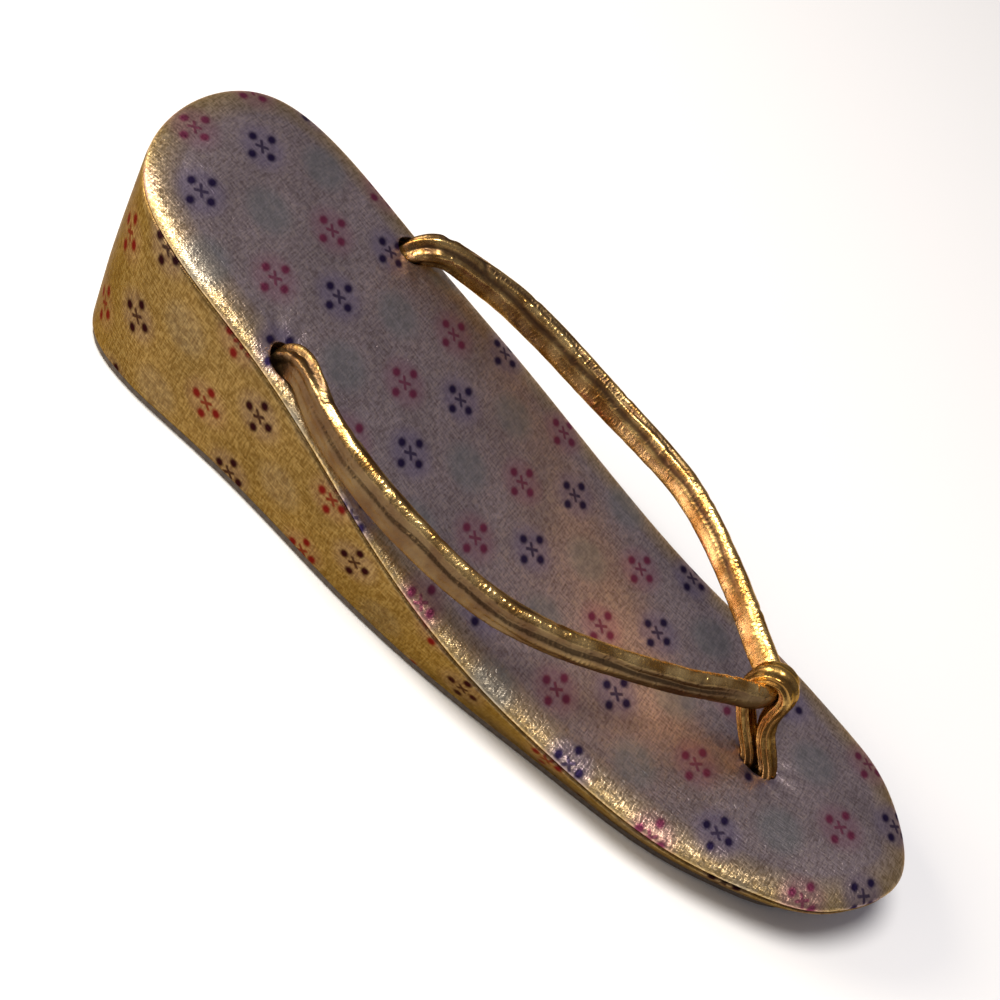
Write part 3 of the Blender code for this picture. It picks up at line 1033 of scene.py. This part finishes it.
def makePost():
    obj = tube("post_loop", *postRoute(post["steps"]), post["sides"], ovalSection, postSwell)
    # painted shade in the troughs of the post's pleats
    hollow = np.clip(-postPleats(turns(post["sides"])), 0, 1) * post["hollow"]
    mark(obj, "hollow", np.tile(hollow, (post["steps"] + 1, 1)))
    obj.data.materials.append(postSkin)
    return obj


pockets = dict(steps=320, ends=20, above=0.006, rings=6)


def makePockets():
    # one cutter for each hole: the two buried ends of the straps, and the post's two strands together
    ends = pockets["ends"]
    route = strapRoute(pockets["steps"])
    # a hole is punched a little wide, and the strap leans forward in it
    route[0][:, 1] -= strap["holeSlack"]
    right = pocket("right_pocket", [part[:ends] for part in route], strap["holeGrow"])
    left = pocket("left_pocket", [part[-ends:] for part in route], strap["holeGrow"])
    footY = post["fromHeel"] - sole["length"] / 2
    depths = np.linspace(-strap["tailDepth"] - post["holeGrow"], pockets["above"], pockets["rings"])
    hole = np.column_stack([0 * depths, footY + 0 * depths, float(topHeight(footY)) + depths])
    across = np.tile((1.0, 0, 0), (len(depths), 1))
    wide = np.full(len(depths), post["width"] * strandRows[0].width)
    deep = np.full(len(depths), 2 * post["thickness"] + 4 * sole["clearance"])
    return [right, left, pocket("post_pocket", (hole, across, wide, deep), post["holeGrow"])]


strapBand = makeStraps()
strapStitches = makeStitches(strapBand)
postLoop = makePost()
cutters = makePockets()
print("straps and post made")


# Sole: the padded top and the covered wedge
cover = dict(
    around=260,
    across=56,
    edgeRings=12,
    crown=0.0007,
    uneven=0.00012,
    crownRun=0.02,
    rimFall=0.7,
    dimple=0.0011,
    dimpleReach=0.0062,
    pucker=0.00018,
    puckerAt=0.0075,
    puckerReach=0.0032,
    footRings=5,
    wallRings=26,
    bulge=0.0004,
    wallUneven=0.00013,
    firstRow=0.01778,
    columnShift=0.619,
    turn=0.0149,
    turnAt=0.1,
    slopeSteps=400,
    sideFirstRow=0.0056,
)
# How far the side cloth's columns lie above the floor as they run round from the heel
ClothDrift = namedtuple("ClothDrift", "along height")
clothDrift = [
    ClothDrift(0.000, 0.0500),
    ClothDrift(0.031, 0.0386),
    ClothDrift(0.053, 0.0330),
    ClothDrift(0.078, 0.0288),
    ClothDrift(0.105, 0.0286),
    ClothDrift(0.127, 0.0330),
    ClothDrift(0.153, 0.0355),
    ClothDrift(0.275, 0.0375),
]


def topCloth(x, y):
    # across and along the top cloth: along is measured over the slope from the heel
    stations = np.linspace(-sole["length"] / 2, sole["length"] / 2, cover["slopeSteps"])
    heights = topHeight(stations)
    run = np.concatenate([[0], np.cumsum(np.hypot(np.diff(stations), np.diff(heights)))])
    # the cloth is laid a little askew, turned about a point near the middle
    along = np.interp(y, stations, run) - cover["turnAt"]
    c, s = math.cos(cover["turn"]), math.sin(cover["turn"])
    u, v = x * c + along * s, -x * s + along * c
    return cover["columnShift"] * motif["across"] - u, v + cover["turnAt"] - cover["firstRow"]


def sideCloth(arc, z):
    # up the wall and along it, from the middle of the heel towards either side
    height = smoothRows(clothDrift, np.abs(arc))[..., 0]
    return z - height, arc - cover["sideFirstRow"]


def holePlaces():
    holeY = strap["holeFromHeel"] - sole["length"] / 2
    postY = post["fromHeel"] - sole["length"] / 2
    return ((strap["holeOut"], holeY), (-strap["holeOut"], holeY), (0, postY))


def pressed(points):
    # dips and small puckers of the cloth round the three holes
    drop = np.zeros(points.shape[:-1])
    for x, y in holePlaces():
        dx, dy = points[..., 0] - x, points[..., 1] - y
        away = np.hypot(dx, dy)
        angle = np.arctan2(dy, dx)
        drop = drop + cover["dimple"] * np.exp(-((away / cover["dimpleReach"]) ** 2))
        ring = np.exp(-(((away - cover["puckerAt"]) / cover["puckerReach"]) ** 2))
        drop = drop + cover["pucker"] * ring * np.cos(9 * angle + x * 40)
    return drop


def makeFootbed():
    steps = cover["around"]
    loop, normal = soleOutline(steps)
    count = len(loop)
    rings, tilts = [], []
    edge = sole["padEdge"] - sole["clearance"] - sole["seamBevel"]
    profile = [(0.0, sole["seamBevel"], 1.0), (sole["seamBevel"] * 0.6, sole["seamBevel"] * 0.2, 1.0)]
    for step in range(cover["edgeRings"] + 1):
        turn = math.pi / 2 * step / cover["edgeRings"]
        rise, inset = sole["seamBevel"] + edge * math.sin(turn), sole["padEdgeRun"] * (1 - math.cos(turn))
        profile.append((rise, inset, math.cos(turn)))
    for rise, inset, tilt in profile:
        moved = loop - normal * inset
        height = seamHeight(moved[:, 1]) + sole["clearance"] + rise
        rings.append(np.column_stack([moved, height]))
        tilts.append(np.full(count, tilt))
    # inner rows run straight across between the last ring's two sides
    last = rings[-1]
    shares = np.linspace(0, 1, cover["across"] + 1)[1:-1]
    inner = []
    for k in range(1, steps):
        right, left = last[k], last[count - k]
        row = right + (left - right) * shares[:, None]
        arch = np.clip(1 - (row[:, 0] / max(right[0], 1e-6)) ** 2, 0, 1)
        row[:, 2] += cover["crown"] * arch * min(1, right[0] / cover["crownRun"])
        inner.append(row)
    ringPoints = np.concatenate(rings)
    innerPoints = np.concatenate(inner)
    points = np.concatenate([ringPoints, innerPoints])
    level = np.concatenate([1 - np.concatenate(tilts), np.ones(len(innerPoints))])
    points[:, 2] += level * (cover["uneven"] * bumps(points, 70, 1) - pressed(points))
    faces = ringFaces(len(rings), count)
    top, wide = (len(rings) - 1) * count, len(shares)

    def rowIndex(k):
        if k in (0, steps):
            return [top + k] * (wide + 2)
        first = len(ringPoints) + (k - 1) * wide
        return [top + k, *range(first, first + wide), top + count - k]

    for k in range(steps):
        low, high = rowIndex(k), rowIndex(k + 1)
        for c in range(wide + 1):
            faces.append(tuple(dict.fromkeys((low[c], high[c], high[c + 1], low[c + 1]))))
    faces += capFaces(0, steps)
    u, v = topCloth(points[:, 0], points[:, 1])
    # over the rounded edge the cloth runs on by the length of the curve
    edges = np.array(rings)
    gaps = np.linalg.norm(np.diff(edges, axis=0), axis=2)
    spread = np.concatenate([np.cumsum(gaps[::-1], axis=0)[::-1], np.zeros((1, count))])
    over = spread - np.linalg.norm((edges - last)[..., :2], axis=2)
    u[: len(ringPoints)] -= (over * normal[:, 0]).ravel()
    v[: len(ringPoints)] += (over * normal[:, 1]).ravel()
    cloth = [[(u[i], v[i]) for i in face] for face in faces]
    faces, cloth = outward(points, faces, cloth)
    mesh = meshWithCloth("footbed", points, faces, [pair for corners in cloth for pair in corners])
    obj = newObject("footbed", mesh)
    # rim: how far each point lies over the rounded edge, where the painted highlight colour is laid
    mark(obj, "rim", np.clip(1 - level, 0, 1) ** cover["rimFall"])
    obj.data.materials.append(topBrocade)
    return cutAway(obj, cutters)


def makeWedge():
    steps = cover["around"]
    loop, normal = soleOutline(steps)
    count = len(loop)
    foot = sole["wedgeFoot"]
    rows = []

    def base(y):
        return floorLift(y) + sole["outsoleThickness"] + sole["clearance"]

    for turn in np.linspace(0, math.pi / 2, cover["footRings"]):
        inset, rise = foot * (1 - math.sin(turn)), foot * (1 - math.cos(turn))
        moved = loop - normal * (wallTaper(loop[:, 1]) + inset)[:, None]
        rows.append(np.column_stack([moved, base(moved[:, 1]) + rise]))
    for share in np.linspace(0, 1, cover["wallRings"])[1:]:
        inset = wallTaper(loop[:, 1]) * (1 - share) - cover["bulge"] * math.sin(math.pi * share)
        moved = loop - normal * inset[:, None]
        low, high = base(moved[:, 1]) + foot, seamHeight(moved[:, 1]) - sole["seamBevel"]
        rows.append(np.column_stack([moved, low + (high - low) * share]))
    moved = loop - normal * sole["seamBevel"]
    rows.append(np.column_stack([moved, seamHeight(moved[:, 1])]))
    points = np.concatenate(rows)
    ripple = cover["wallUneven"] * bumps(points * (1, 1, 0.5), 90, 2)
    points[:, :2] += np.tile(normal, (len(rows), 1)) * ripple[:, None]
    # the side cloth runs both ways from the middle of the heel and meets at the toe
    arc = distanceAlong(np.concatenate([loop, loop[:1]]))
    signed = np.where(np.arange(count + 1) <= steps, arc, arc - arc[-1])
    faces, cloth = ringFaces(len(rows), count), []
    for face in faces:
        i = face[0] % count
        start = signed[i] if i != steps else -signed[steps]
        end = signed[i + 1] if i + 1 != count else 0.0
        cloth.append([(points[p][2], a) for p, a in zip(face, (start, end, end, start))])
    for first, order in ((0, 1), ((len(rows) - 1) * count, -1)):
        for face in capFaces(first, steps):
            faces.append(face[::order])
            cloth.append([(points[p][2], signed[min(p - first, steps)]) for p in face[::order]])
    faces, cloth = outward(points, faces, cloth)
    pairs = np.array([pair for corners in cloth for pair in corners])
    across, along = sideCloth(pairs[:, 1], pairs[:, 0])
    mesh = meshWithCloth("wedge_cover", points, faces, np.column_stack([across, along]))
    obj = newObject("wedge_cover", mesh)
    mark(obj, "rim", np.zeros(0))
    obj.data.materials.append(sideBrocade)
    return cutAway(obj, cutters)


footbed = makeFootbed()
wedgeCover = makeWedge()
for cutter in cutters:
    bpy.data.objects.remove(cutter, do_unlink=True)
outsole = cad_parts["outsole"]
for materialSlot in outsole.material_slots:
    materialSlot.material = makeRubber()
print("sole covered")


# Every piece rides on the one body and stands for its solid
for piece, nodeName, slotName in (
    (footbed, "top_pad", "top_cover"),
    (wedgeCover, "wedge_sole", "sole_cover"),
    (strapBand, "straps", "strap_gold"),
    (postLoop, "front_post", "post_gold"),
):
    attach(piece, "root")
    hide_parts(nodeName)
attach(strapStitches, "root")


# Floor, light and camera
stage = dict(
    floorSize=8.0,
    floorColor=(0.90, 0.915, 0.945),
    floorRough=0.7,
    worldColor=(0.34, 0.32, 0.37),
    worldStrength=0.48,
)


def makeStage():
    half = stage["floorSize"] / 2
    corners = [(-half, -half, 0), (half, -half, 0), (half, half, 0), (-half, half, 0)]
    mesh = bpy.data.meshes.new("floor")
    mesh.from_pydata(corners, [], [(0, 1, 2, 3)])
    floor = newObject("floor", mesh)
    made, tree, shader = newMaterial("pale floor")
    wire(shader, Base_Color=stage["floorColor"], Roughness=stage["floorRough"])
    mesh.materials.append(made)
    world = bpy.data.worlds.new("studio")
    world.use_nodes = True
    background = world.node_tree.nodes["Background"]
    wire(background, Color=stage["worldColor"], Strength=stage["worldStrength"])
    bpy.context.scene.world = world


lampAim = (0, 0, 0.02)
Lamp = namedtuple("Lamp", "name place size power color")
lamps = [
    Lamp("overhead key", (0.42, -0.38, 1.36), 0.60, 21.0, (1.0, 0.955, 0.90)),
    Lamp("warm heel light", (0.40, -1.30, 0.62), 0.80, 18.0, (1.0, 0.89, 0.70)),
    Lamp("warm corner light", (1.05, -0.85, 0.70), 0.80, 2.5, (1.0, 0.87, 0.66)),
]


def makeLamps():
    for lamp in lamps:
        data = bpy.data.lights.new(lamp.name, "AREA")
        data.shape = "DISK"
        data.size = lamp.size
        data.energy = lamp.power
        data.color = lamp.color
        obj = newObject(lamp.name, data)
        obj.location = lamp.place
        aim = Vector(lampAim) - Vector(lamp.place)
        obj.rotation_euler = aim.to_track_quat("-Z", "Y").to_euler()


view = dict(
    place=(0.3123, -0.0050, 0.3177),
    aim=(-0.0046, -0.0094, 0.0218),
    up=(-0.498, -0.653, 0.571),
    lens=67.0,
    sensor=36.0,
)


def makeCamera():
    place, aim = Vector(view["place"]), Vector(view["aim"])
    back = (place - aim).normalized()
    right = Vector(view["up"]).cross(back).normalized()
    up = back.cross(right)
    data = bpy.data.cameras.new("camera")
    data.lens = view["lens"]
    data.sensor_width = view["sensor"]
    camera = newObject("camera", data)
    camera.matrix_world = Matrix.Translation(place) @ Matrix((right, up, back)).transposed().to_4x4()
    bpy.context.scene.camera = camera


makeStage()
makeLamps()
makeCamera()
bpy.context.scene.view_settings.view_transform = "Standard"
print("stage, light and camera set")
